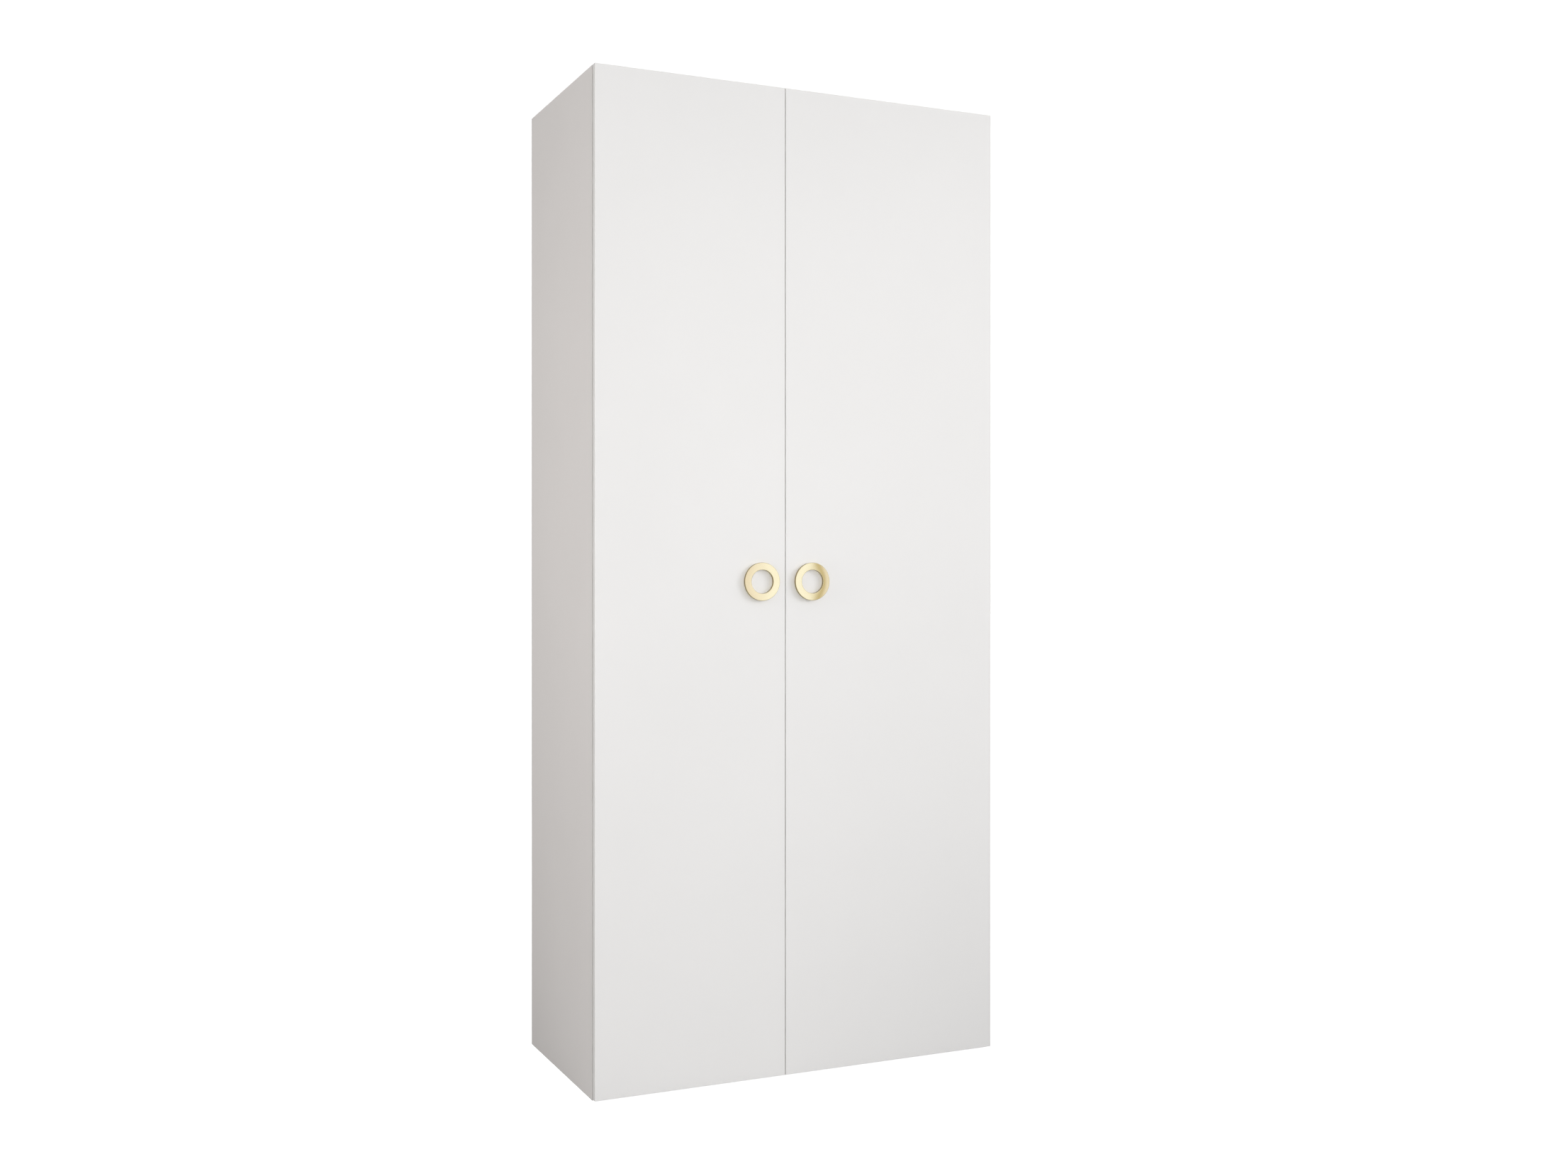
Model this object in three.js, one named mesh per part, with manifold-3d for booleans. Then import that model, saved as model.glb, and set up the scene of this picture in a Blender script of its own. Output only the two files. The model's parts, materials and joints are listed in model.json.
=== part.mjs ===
// Two-door hinged wardrobe in white board, with flat ring handles. Millimetres, +Z up.
// Origin: bottom centre of the whole object. The doors face -Y, the back panels face +Y.
import * as THREE from "three";
import { mergeVertices } from "three/addons/utils/BufferGeometryUtils.js";
import Module from "manifold-3d";

// ---- driving dimensions: the whole wardrobe ----
const WIDTH = 1000;
const HEIGHT = 2250;
const BOARD = 16; // melamine-faced chipboard
const BACK_BOARD = 3; // hardboard
const FIT = 0.3; // clearance between two pieces that touch
const BACK_Y = 252; // rear face of the back panels
const CARCASS_FRONT_Y = -220; // front edges of the side panels

// ---- doors ----
const DOOR_AIR = 2; // between the carcass front edges and the doors
const DOOR_BOTTOM_Z = 3;
const DOOR_SIDE_INSET = 0.5; // door edge inside the side panel's outer face
const MEETING_X = -45.8; // middle of the gap where the two doors meet
const MEETING_GAP = 1.5;
const DOOR_EDGE_CHAMFER = 1.2; // on the inner hinge-side edge

// ---- carcass ----
const PLINTH_HEIGHT = 70;
const PLINTH_RECESS = 20;
const REBATE_WIDTH = 8; // groove for the back panels, along the sides' inner rear edges
const BACK_END_INSET = 2; // back panels short of the top and of the floor
const SHELF_SIDE_AIR = 1;
const SHELF_RECESS = 18;
const LEFT_SHELVES = 4;
const HAT_SHELF_Z = 1900; // underside
const LOW_SHELF_Z = 400; // underside

// ---- hanging rail: an oval steel tube ----
const RAIL_HEIGHT = 30;
const RAIL_DEPTH = 15;
const RAIL_WALL = 1.2;
const RAIL_Z = 1840;
const RAIL_Y = 14; // middle of the compartment's depth
const SOCKET_BASE = 3;
const SOCKET_COLLAR = 12;
const SOCKET_WALL = 2;
const SOCKET_FLANGE = 8; // base beyond the collar

// ---- ring handles ----
const RING_OUTER_R = 43.2;
const RING_INNER_R = 26.7;
const RING_THICKNESS = 6.5;
const RING_STANDOFF = 6.5;
const RING_BEVEL = 1;
const RING_SEGMENTS = 64;
const HANDLE_OFFSET = 62.6; // ring centre from the middle of the meeting gap
const HANDLE_Z = 1126.5;
const POST_R = 4.5;
const HANDLE_SCREW_R = 2;
const HANDLE_SCREW_HEAD_R = 4.5;
const HANDLE_SCREW_HEAD = 2.2;
const HANDLE_SCREW_GRIP = 3.5; // thread inside the post

// ---- concealed hinges: 35 mm cup in the door, arm on a cross plate in the carcass ----
const HINGE_Z = [120, 790, 1460, 2130];
const HINGE_NAMES = ["bottom", "lower", "upper", "top"];
const PIVOT_FROM_EDGE = 7; // hinge axis from the door's outer edge
const PIVOT_DEPTH = 9; // hinge axis below the door's inner face
const CUP_EDGE = 3; // board left between the cup and the door's edge
const CUP_R = 17.5;
const CUP_WALL = 1;
const CUP_DEPTH = 12.3;
const CUP_FLOOR = 0.6;
const CUP_RIM = 0.6; // rim above the door's inner face
const CUP_SEGMENTS = 28;
const WING_LENGTH = 52;
const WING_WIDTH = 20;
const WING_TOP = 1.2;
const PIN_R = 1;
const PIN_LENGTH = 19.4;
const EYE_R = 2.3;
const EYE_AIR = 0.35;
const NECK_WIDTH = 7;
const NECK_THICKNESS = 2;
const NECK_ABOVE_AXIS = 0.7; // flat run's carcass-side face, above the hinge axis
const NECK_RISE_X = 3.2; // the rise clears the side panel's inner face by this much
const NECK_BEND_Y = -1.5; // where the rise leans over to the arm
const NECK_ROOT = [4, 8]; // thickness and length inside the arm
const ARM_WIDTH = 14;
const ARM_X = [7, 12.5]; // from the side panel's inner face
const ARM_Y = [5, 62]; // from the carcass front edge
const PLATE_BASE = 2;
const PLATE_BASE_Y = [25, 57];
const PLATE_HEIGHT = 48;
const RIDGE_Y = [22, 60];
const RIDGE_WIDTH = 12;

// ---- small parts ----
const BUMPER_R = 5;
const BUMPER_THICKNESS = 1.4;
const BUMPER_Z = [110, 2190];
const ANGLE_LEG = 40;
const ANGLE_WIDTH = 30;
const ANGLE_THICKNESS = 2;
const ANGLE_FROM_SIDE = 120;

const ROD_SEGMENTS = 20; // sides of a small round
const RAIL_CORNER_SEGMENTS = 10;

// ---- worked out from the above ----
const OUTER_X = WIDTH / 2;
const INNER_X = OUTER_X - BOARD;
const DOOR_INNER_Y = CARCASS_FRONT_Y - DOOR_AIR;
const DOOR_FRONT_Y = DOOR_INNER_Y - BOARD;
const CARCASS_REAR_Y = BACK_Y - BACK_BOARD - FIT;
const FLOOR_TOP_Z = PLINTH_HEIGHT + BOARD;
const ROOF_Z = HEIGHT - BOARD;
const DOOR_OUTER_X = OUTER_X - DOOR_SIDE_INSET;
const PARTITION_LEFT_X = MEETING_X - BOARD / 2;
const PARTITION_RIGHT_X = MEETING_X + BOARD / 2;
const SHELF_FRONT_Y = CARCASS_FRONT_Y + SHELF_RECESS;
const PIVOT_X = DOOR_OUTER_X - PIVOT_FROM_EDGE;
const PIVOT_Y = DOOR_INNER_Y - PIVOT_DEPTH;
const CUP_X = DOOR_OUTER_X - CUP_EDGE - CUP_R;
const RING_MID_R = (RING_OUTER_R + RING_INNER_R) / 2;
const RING_BACK_Y = DOOR_FRONT_Y - RING_STANDOFF;
const RING_FRONT_Y = RING_BACK_Y - RING_THICKNESS;

const wasm = await Module();
wasm.setup();

// ---- materials ----
function finish(colour, roughness, metalness) {
  return () => new THREE.MeshStandardMaterial({ color: colour, roughness, metalness });
}
const whiteBoard = finish(0xf0eeed, 0.55, 0);
const backBoard = finish(0xeceae7, 0.6, 0);
const paleGold = finish(0xe9dcb4, 0.28, 1);
const nickel = finish(0xb9bbbd, 0.3, 1);
const zincSteel = finish(0xa9abac, 0.42, 1);
const clearRubber = finish(0xdfe2e2, 0.5, 0);

// ---- geometry helpers ----
function block([x0, x1], [y0, y1], [z0, z1]) {
  const geometry = new THREE.BoxGeometry(x1 - x0, y1 - y0, z1 - z0);
  return geometry.translate((x0 + x1) / 2, (y0 + y1) / 2, (z0 + z1) / 2);
}

function rodAlongY(radius, [y0, y1], x, z, segments = ROD_SEGMENTS) {
  const geometry = new THREE.CylinderGeometry(radius, radius, y1 - y0, segments);
  return geometry.translate(x, (y0 + y1) / 2, z);
}

function rodAlongZ(radius, length, x, y, z) {
  const geometry = new THREE.CylinderGeometry(radius, radius, length, ROD_SEGMENTS);
  return geometry.rotateX(Math.PI / 2).translate(x, y, z);
}

const about = (middle, length) => [middle - length / 2, middle + length / 2];

function uprightPrism(points, [z0, z1]) {
  const shape = new THREE.Shape(points.map(([x, y]) => new THREE.Vector2(x, y)));
  const geometry = new THREE.ExtrudeGeometry(shape, { depth: z1 - z0, bevelEnabled: false });
  return geometry.translate(0, 0, z0);
}

function turnedAboutY(profile, segments, x, y, z) {
  const points = profile.map(([radius, height]) => new THREE.Vector2(radius, height));
  return new THREE.LatheGeometry(points, segments).translate(x, y, z);
}

function solid(geometry) {
  geometry.deleteAttribute("normal");
  geometry.deleteAttribute("uv");
  const merged = mergeVertices(geometry);
  return new wasm.Manifold(new wasm.Mesh({
    numProp: 3,
    vertProperties: new Float32Array(merged.getAttribute("position").array),
    triVerts: new Uint32Array(merged.getIndex().array),
  }));
}

function surface(manifold) {
  const mesh = manifold.getMesh();
  const geometry = new THREE.BufferGeometry();
  geometry.setAttribute("position", new THREE.BufferAttribute(mesh.vertProperties, 3));
  geometry.setIndex(new THREE.BufferAttribute(mesh.triVerts, 1));
  geometry.computeVertexNormals();
  return geometry;
}

const joined = (body, ...others) => others.reduce((sum, other) => sum.add(solid(other)), body);
const cut = (body, ...others) => others.reduce((rest, other) => rest.subtract(solid(other)), body);

const wardrobe = new THREE.Group();

function place(name, geometry, material) {
  const mesh = new THREE.Mesh(geometry, material());
  mesh.name = name;
  wardrobe.add(mesh);
}

// ---- carcass boards ----
const carcassDepth = [CARCASS_FRONT_Y, CARCASS_REAR_Y];
const betweenSides = [-INNER_X + FIT, INNER_X - FIT];

// A side runs to the very back; the back panel lies in a rebate along its inner rear edge.
function sidePanel(side) {
  const across = (...span) => span.map((x) => side * x).sort((a, b) => a - b);
  const sideBoard = block(across(INNER_X, OUTER_X), [CARCASS_FRONT_Y, BACK_Y], [0, HEIGHT]);
  const rebate = block(across(INNER_X - 1, INNER_X + REBATE_WIDTH),
    [CARCASS_REAR_Y, BACK_Y + 1], [-1, HEIGHT + 1]);
  return surface(cut(solid(sideBoard), rebate));
}

function buildCarcass() {
  place("left_side_panel", sidePanel(-1), whiteBoard);
  place("right_side_panel", sidePanel(1), whiteBoard);
  place("top_panel", block(betweenSides, carcassDepth, [ROOF_Z, HEIGHT]), whiteBoard);
  place("bottom_panel", block(betweenSides, carcassDepth, [PLINTH_HEIGHT, FLOOR_TOP_Z]), whiteBoard);
  place("partition", block([PARTITION_LEFT_X, PARTITION_RIGHT_X], carcassDepth,
    [FLOOR_TOP_Z + FIT, ROOF_Z - FIT]), whiteBoard);

  const plinthZ = [0, PLINTH_HEIGHT - FIT];
  const frontY = CARCASS_FRONT_Y + PLINTH_RECESS;
  const rearY = CARCASS_REAR_Y - PLINTH_RECESS;
  place("plinth_front", block(betweenSides, [frontY, frontY + BOARD], plinthZ), whiteBoard);
  place("plinth_rear", block(betweenSides, [rearY - BOARD, rearY], plinthZ), whiteBoard);

  const backY = [BACK_Y - BACK_BOARD, BACK_Y];
  const backZ = [BACK_END_INSET, HEIGHT - BACK_END_INSET];
  const backEndX = INNER_X + REBATE_WIDTH - FIT;
  place("back_panel_left", block([-backEndX, MEETING_X - FIT], backY, backZ), backBoard);
  place("back_panel_right", block([MEETING_X + FIT, backEndX], backY, backZ), backBoard);
}

// ---- shelves on pins ----
function buildShelves() {
  const depth = [SHELF_FRONT_Y, CARCASS_REAR_Y - FIT];
  const leftX = [-INNER_X + SHELF_SIDE_AIR, PARTITION_LEFT_X - SHELF_SIDE_AIR];
  const rightX = [PARTITION_RIGHT_X + SHELF_SIDE_AIR, INNER_X - SHELF_SIDE_AIR];
  const space = (ROOF_Z - FLOOR_TOP_Z - LEFT_SHELVES * BOARD) / (LEFT_SHELVES + 1);
  for (let i = 1; i <= LEFT_SHELVES; i++) {
    const z = FLOOR_TOP_Z + i * space + (i - 1) * BOARD;
    place(`left_shelf_${i}`, block(leftX, depth, [z, z + BOARD]), whiteBoard);
  }
  place("hat_shelf", block(rightX, depth, [HAT_SHELF_Z, HAT_SHELF_Z + BOARD]), whiteBoard);
  place("right_low_shelf", block(rightX, depth, [LOW_SHELF_Z, LOW_SHELF_Z + BOARD]), whiteBoard);
}

// ---- hanging rail and its two end sockets ----
// An upright oval in the plane across the rail; after turning, its long axis is vertical.
function oval(path, height, width) {
  const radius = width / 2;
  const straight = height / 2 - radius;
  path.absarc(0, straight, radius, 0, Math.PI, false);
  path.absarc(0, -straight, radius, Math.PI, 2 * Math.PI, false);
  path.closePath();
  return path;
}

// Extrudes an oval, hollow or full, along +X from x0 to x1 at the rail's place.
function ovalAlongX(height, width, [x0, x1], hole) {
  const shape = oval(new THREE.Shape(), height, width);
  if (hole) {
    shape.holes.push(oval(new THREE.Path(), hole.height, hole.width));
  }
  const options = { depth: x1 - x0, bevelEnabled: false, curveSegments: RAIL_CORNER_SEGMENTS };
  const geometry = new THREE.ExtrudeGeometry(shape, options);
  return geometry.rotateX(Math.PI / 2).rotateZ(Math.PI / 2).translate(x0, RAIL_Y, RAIL_Z);
}

function buildRail() {
  const wallLeft = PARTITION_RIGHT_X + FIT;
  const wallRight = INNER_X - FIT;
  const tubeX = [wallLeft + SOCKET_BASE + FIT, wallRight - SOCKET_BASE - FIT];
  const bore = { height: RAIL_HEIGHT - 2 * RAIL_WALL, width: RAIL_DEPTH - 2 * RAIL_WALL };
  place("hanging_rail", ovalAlongX(RAIL_HEIGHT, RAIL_DEPTH, tubeX, bore), nickel);

  const mouth = { height: RAIL_HEIGHT + 2 * FIT, width: RAIL_DEPTH + 2 * FIT };
  const collar = { height: mouth.height + 2 * SOCKET_WALL, width: mouth.width + 2 * SOCKET_WALL };
  const base = { height: collar.height + 2 * SOCKET_FLANGE, width: collar.width + SOCKET_FLANGE };
  const ends = [["left", wallLeft, 1], ["right", wallRight, -1]];
  for (const [name, wall, inward] of ends) {
    const span = (from, to) => [wall + inward * from, wall + inward * to].sort((a, b) => a - b);
    const socket = cut(
      joined(
        solid(ovalAlongX(base.height, base.width, span(0, SOCKET_BASE))),
        ovalAlongX(collar.height, collar.width, span(0, SOCKET_COLLAR)),
      ),
      ovalAlongX(mouth.height, mouth.width, span(SOCKET_BASE, SOCKET_COLLAR + 1)),
    );
    place(`rail_socket_${name}`, surface(socket), nickel);
  }
}

// ---- doors, their ring handles and the handle screws ----
// side is -1 for the left door and +1 for the right door.
function doorBoard(side) {
  const outer = side * DOOR_OUTER_X;
  const meeting = MEETING_X + side * MEETING_GAP / 2;
  const outline = [
    [meeting, DOOR_FRONT_Y],
    [outer, DOOR_FRONT_Y],
    [outer, DOOR_INNER_Y - DOOR_EDGE_CHAMFER],
    [outer - side * DOOR_EDGE_CHAMFER, DOOR_INNER_Y],
    [meeting, DOOR_INNER_Y],
  ];
  const cupBores = HINGE_Z.map((z) => rodAlongY(CUP_R + FIT,
    [DOOR_INNER_Y - CUP_DEPTH - FIT, DOOR_INNER_Y + 1], side * CUP_X, z, CUP_SEGMENTS));
  const screwBores = postHeights().map((z) => rodAlongY(HANDLE_SCREW_R + FIT,
    [DOOR_FRONT_Y - 1, DOOR_INNER_Y + 1], handleX(side), z));
  return surface(cut(solid(uprightPrism(outline, [DOOR_BOTTOM_Z, HEIGHT])),
    ...cupBores, ...screwBores));
}

const handleX = (side) => MEETING_X + side * HANDLE_OFFSET;
const postHeights = () => [HANDLE_Z - RING_MID_R, HANDLE_Z + RING_MID_R];

function ringHandle(side) {
  const b = RING_BEVEL;
  const ring = turnedAboutY([
    [RING_INNER_R + b, 0],
    [RING_OUTER_R - b, 0],
    [RING_OUTER_R, b],
    [RING_OUTER_R, RING_THICKNESS - b],
    [RING_OUTER_R - b, RING_THICKNESS],
    [RING_INNER_R + b, RING_THICKNESS],
    [RING_INNER_R, RING_THICKNESS - b],
    [RING_INNER_R, b],
    [RING_INNER_R + b, 0],
  ], RING_SEGMENTS, handleX(side), RING_FRONT_Y, HANDLE_Z);
  const postEnd = DOOR_FRONT_Y - FIT;
  const posts = postHeights().map((z) => rodAlongY(POST_R, [RING_BACK_Y - 1, postEnd],
    handleX(side), z));
  const threads = postHeights().map((z) => rodAlongY(HANDLE_SCREW_R + FIT,
    [postEnd - HANDLE_SCREW_GRIP - FIT, postEnd + 1], handleX(side), z));
  return surface(cut(joined(solid(ring), ...posts), ...threads));
}

function handleScrew(side, z) {
  const tip = DOOR_FRONT_Y - FIT - HANDLE_SCREW_GRIP;
  const headY = DOOR_INNER_Y + FIT;
  const shank = rodAlongY(HANDLE_SCREW_R, [tip, headY + HANDLE_SCREW_HEAD / 2], handleX(side), z);
  const head = rodAlongY(HANDLE_SCREW_HEAD_R, [headY, headY + HANDLE_SCREW_HEAD],
    handleX(side), z);
  return surface(joined(solid(shank), head));
}

function buildDoor(name, side) {
  place(`${name}_door`, doorBoard(side), whiteBoard);
  place(`${name}_ring_handle`, ringHandle(side), paleGold);
  postHeights().forEach((z, i) => {
    place(`${name}_handle_screw_${i + 1}`, handleScrew(side, z), zincSteel);
  });
  const bumperX = MEETING_X + side * (MEETING_GAP / 2 + BUMPER_R);
  const bumperY = [DOOR_INNER_Y + FIT, DOOR_INNER_Y + FIT + BUMPER_THICKNESS];
  ["bottom", "top"].forEach((end, i) => {
    place(`${name}_bumper_${end}`, rodAlongY(BUMPER_R, bumperY, bumperX, BUMPER_Z[i]), clearRubber);
  });
}

// ---- hinges ----
// Places given from the side panel's inner face and from the carcass front edge.
const fromCorner = (side, x, y) => [side * (INNER_X - x), CARCASS_FRONT_Y + y];
const spanFromWall = (side, span) => span.map((x) => side * (INNER_X - x)).sort((a, b) => a - b);
const spanFromFront = (span) => span.map((y) => CARCASS_FRONT_Y + y);

function hingeCup(side, z) {
  const x = side * CUP_X;
  const shell = turnedAboutY([
    [0, -CUP_DEPTH],
    [CUP_R, -CUP_DEPTH],
    [CUP_R, CUP_RIM],
    [CUP_R - CUP_WALL, CUP_RIM],
    [CUP_R - CUP_WALL, CUP_FLOOR - CUP_DEPTH],
    [0, CUP_FLOOR - CUP_DEPTH],
  ], CUP_SEGMENTS, x, DOOR_INNER_Y, z);
  const wing = block(about(x, WING_WIDTH), [DOOR_INNER_Y + FIT, DOOR_INNER_Y + WING_TOP],
    about(z, WING_LENGTH));
  const hollow = rodAlongY(CUP_R - CUP_WALL,
    [DOOR_INNER_Y - CUP_DEPTH + CUP_FLOOR, DOOR_INNER_Y + WING_TOP + 1], x, z, CUP_SEGMENTS);
  const pin = rodAlongZ(PIN_R, PIN_LENGTH, side * PIVOT_X, PIVOT_Y, z);
  return surface(joined(cut(joined(solid(shell), wing), hollow), pin));
}

// A swan neck carries the eye from the arm, out of the carcass and down into the cup.
function hingeArm(side, z) {
  const [armX, armY] = [ARM_X[0], ARM_Y[0]];
  const [rootThickness, rootLength] = NECK_ROOT;
  const pivotX = INNER_X - PIVOT_X;
  const upperY = PIVOT_Y - CARCASS_FRONT_Y + NECK_ABOVE_AXIS;
  const lowerY = upperY - NECK_THICKNESS;
  const riseX = NECK_RISE_X + NECK_THICKNESS;
  const neckOutline = [
    [pivotX, upperY],
    [NECK_RISE_X, upperY],
    [NECK_RISE_X, NECK_BEND_Y + NECK_THICKNESS / 2],
    [armX, armY],
    [armX, armY + rootLength],
    [armX + rootThickness, armY + rootLength],
    [armX + rootThickness, armY - NECK_THICKNESS / 2],
    [riseX, NECK_BEND_Y - NECK_THICKNESS / 2],
    [riseX, lowerY],
    [pivotX, lowerY],
  ].map(([x, y]) => fromCorner(side, x, y));
  const neckZ = about(z, NECK_WIDTH);
  const eye = rodAlongZ(EYE_R, NECK_WIDTH, side * PIVOT_X, PIVOT_Y, z);
  const eyeHole = rodAlongZ(PIN_R + EYE_AIR, NECK_WIDTH + 2, side * PIVOT_X, PIVOT_Y, z);
  const channel = block(spanFromWall(side, ARM_X), spanFromFront(ARM_Y), about(z, ARM_WIDTH));
  return surface(cut(joined(solid(uprightPrism(neckOutline, neckZ)), eye, channel), eyeHole));
}

function hingePlate(side, z) {
  const base = block(spanFromWall(side, [FIT, FIT + PLATE_BASE]), spanFromFront(PLATE_BASE_Y),
    about(z, PLATE_HEIGHT));
  const ridge = block(spanFromWall(side, [FIT, ARM_X[0] - FIT]), spanFromFront(RIDGE_Y),
    about(z, RIDGE_WIDTH));
  return surface(joined(solid(base), ridge));
}

function buildHinges(name, side) {
  HINGE_Z.forEach((z, i) => {
    const hinge = `${name}_${HINGE_NAMES[i]}_hinge`;
    place(`${hinge}_cup`, hingeCup(side, z), nickel);
    place(`${hinge}_arm`, hingeArm(side, z), nickel);
    place(`${hinge}_plate`, hingePlate(side, z), zincSteel);
  });
}

// ---- angle brackets that hold the top to the wall, inside the top compartments ----
function buildWallAngles() {
  const rear = CARCASS_REAR_Y - FIT;
  const roof = ROOF_Z - FIT;
  for (const [name, side] of [["left", -1], ["right", 1]]) {
    const width = about(side * (INNER_X - ANGLE_FROM_SIDE), ANGLE_WIDTH);
    const upright = block(width, [rear - ANGLE_THICKNESS, rear], [roof - ANGLE_LEG, roof]);
    const flat = block(width, [rear - ANGLE_LEG, rear], [roof - ANGLE_THICKNESS, roof]);
    place(`${name}_wall_angle`, surface(joined(solid(upright), flat)), zincSteel);
  }
}

buildCarcass();
buildShelves();
buildRail();
buildDoor("left", -1);
buildDoor("right", 1);
buildHinges("left", -1);
buildHinges("right", 1);
buildWallAngles();

export default wardrobe;
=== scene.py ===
"""White two-door wardrobe with ring handles: the looks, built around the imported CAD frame."""

import json
import math

import bmesh
import bpy
from mathutils import Matrix, Vector


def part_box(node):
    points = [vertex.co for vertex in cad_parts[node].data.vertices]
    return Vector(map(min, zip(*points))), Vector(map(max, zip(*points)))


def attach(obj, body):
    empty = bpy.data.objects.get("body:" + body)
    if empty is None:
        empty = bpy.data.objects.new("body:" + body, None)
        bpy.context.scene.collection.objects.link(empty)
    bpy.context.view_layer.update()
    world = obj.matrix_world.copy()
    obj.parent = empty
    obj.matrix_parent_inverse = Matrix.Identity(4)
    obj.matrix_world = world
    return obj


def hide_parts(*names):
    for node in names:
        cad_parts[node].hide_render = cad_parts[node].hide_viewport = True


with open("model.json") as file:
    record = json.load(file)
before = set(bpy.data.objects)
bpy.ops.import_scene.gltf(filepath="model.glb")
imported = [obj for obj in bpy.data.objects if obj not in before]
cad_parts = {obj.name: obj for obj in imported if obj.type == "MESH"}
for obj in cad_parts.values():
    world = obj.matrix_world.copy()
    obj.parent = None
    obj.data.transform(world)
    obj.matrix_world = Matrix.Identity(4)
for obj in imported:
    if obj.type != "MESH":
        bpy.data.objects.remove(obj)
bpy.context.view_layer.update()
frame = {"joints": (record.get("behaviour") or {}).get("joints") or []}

MM = 0.001
JOINTS = {joint["name"]: joint for joint in frame["joints"]}
CARCASS_LO, CARCASS_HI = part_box("left_side_panel")
RIGHT_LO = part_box("right_side_panel")[0]
FRONT_Y = CARCASS_LO.y  # front edges of the carcass boards
INNER_X = RIGHT_LO.x  # inner face of the right side panel, and mirrored on the left
SIDES = {"left": -1, "right": 1}
HINGE_LEVELS = ("bottom", "lower", "upper", "top")
LEFT_SHELVES = tuple(f"left_shelf_{i}" for i in range(1, 5))
RIGHT_SHELVES = ("hat_shelf", "right_low_shelf")

# ---------------------------------------------------------------- camera
CAMERA_PLACE = (-1.616, -3.655, 1.152)
CAMERA_TURN = math.radians(-24.63)
CAMERA_LENS = 37.92
CAMERA_SHIFT_Y = -0.01126
SENSOR_WIDTH = 36.0


def add_camera():
    data = bpy.data.cameras.new("camera")
    data.sensor_width = SENSOR_WIDTH
    data.lens = CAMERA_LENS
    data.shift_y = CAMERA_SHIFT_Y
    camera = bpy.data.objects.new("camera", data)
    camera.location = CAMERA_PLACE
    camera.rotation_euler = (math.pi / 2, 0.0, CAMERA_TURN)
    bpy.context.scene.collection.objects.link(camera)
    bpy.context.scene.camera = camera


add_camera()


# ---------------------------------------------------------------- node helpers
class Nodes:
    """Short calls for building a node tree."""

    def __init__(self, tree):
        self.tree = tree

    def add(self, kind, inputs=None, **settings):
        node = self.tree.nodes.new(kind)
        for name, value in settings.items():
            setattr(node, name, value)
        for name, value in (inputs or {}).items():
            if isinstance(value, bpy.types.NodeSocket):
                self.tree.links.new(value, node.inputs[name])
            else:
                node.inputs[name].default_value = value
        return node

    def noise(self, vector, scale, detail=2.0, roughness=0.5):
        inputs = {"Vector": vector, "Scale": scale, "Detail": detail, "Roughness": roughness}
        return self.add("ShaderNodeTexNoise", inputs).outputs["Fac"]

    def remap(self, value, low, high, to_low, to_high):
        inputs = {"Value": value, "From Min": low, "From Max": high}
        inputs.update({"To Min": to_low, "To Max": to_high})
        return self.add("ShaderNodeMapRange", inputs).outputs["Result"]

    def spread(self, noise, to_low, to_high):
        """Stretches the middle of a noise, where nearly all of it lies, over the given range."""
        return self.remap(noise, 0.3, 0.7, to_low, to_high)

    def mix(self, factor, first, second):
        node = self.add("ShaderNodeMix", {"Factor": factor}, data_type="RGBA")
        for socket, value in ((node.inputs[6], first), (node.inputs[7], second)):
            if isinstance(value, bpy.types.NodeSocket):
                self.tree.links.new(value, socket)
            else:
                socket.default_value = value
        return node.outputs[2]

    def stretched(self, vector, scale):
        return self.add("ShaderNodeMapping", {"Vector": vector, "Scale": scale}).outputs["Vector"]

    def bump(self, height, strength, distance, normal=None):
        inputs = {"Height": height, "Strength": strength, "Distance": distance}
        if normal is not None:
            inputs["Normal"] = normal
        return self.add("ShaderNodeBump", inputs).outputs["Normal"]


def colour(red, green, blue):
    """An sRGB colour of 0 to 255 as linear RGBA."""
    def linear(value):
        value /= 255.0
        return value / 12.92 if value <= 0.04045 else ((value + 0.055) / 1.055) ** 2.4

    return (linear(red), linear(green), linear(blue), 1.0)


def grey(value):
    return (value, value, value, 1.0)


def new_material(name):
    material = bpy.data.materials.new(name)
    material.use_nodes = True
    nodes = Nodes(material.node_tree)
    shader = material.node_tree.nodes["Principled BSDF"]
    place = nodes.add("ShaderNodeTexCoord").outputs["Object"]
    return material, nodes, shader, place


def wire(nodes, shader, **sockets):
    for name, value in sockets.items():
        nodes.tree.links.new(value, shader.inputs[name.replace("_", " ")])


# ---------------------------------------------------------------- materials
def melamine(name, base, gloss):
    """White melamine foil: a fine pearl texture, and a very faint unevenness of tone and gloss."""
    material, nodes, shader, place = new_material(name)
    cloud = nodes.noise(place, 2.2, 3.0)
    tone = nodes.mix(nodes.remap(cloud, 0.35, 0.65, 0.0, 1.0), base, [c * 0.985 for c in base])
    sheen = nodes.spread(nodes.noise(place, 9.0, 4.0), gloss - 0.03, gloss + 0.04)
    peel = nodes.bump(nodes.noise(place, 260.0, 2.0), 0.05, 0.0003)
    pearl = nodes.bump(nodes.noise(place, 1500.0, 3.0), 0.10, 0.0001, peel)
    wire(nodes, shader, Base_Color=tone, Roughness=sheen, Normal=pearl)
    shader.inputs["Specular IOR Level"].default_value = 0.42
    return material


def edge_band(name, base):
    """Plastic edging: smoother than the foil, with the faint lines of the scraper along it."""
    material, nodes, shader, place = new_material(name)
    lines = nodes.noise(nodes.stretched(place, (900.0, 900.0, 25.0)), 1.0, 2.0)
    sheen = nodes.spread(lines, 0.34, 0.44)
    tone = nodes.mix(nodes.spread(lines, 0.0, 1.0), base, [c * 0.98 for c in base])
    wire(nodes, shader, Base_Color=tone, Roughness=sheen, Normal=nodes.bump(lines, 0.06, 0.0001))
    return material


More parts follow.
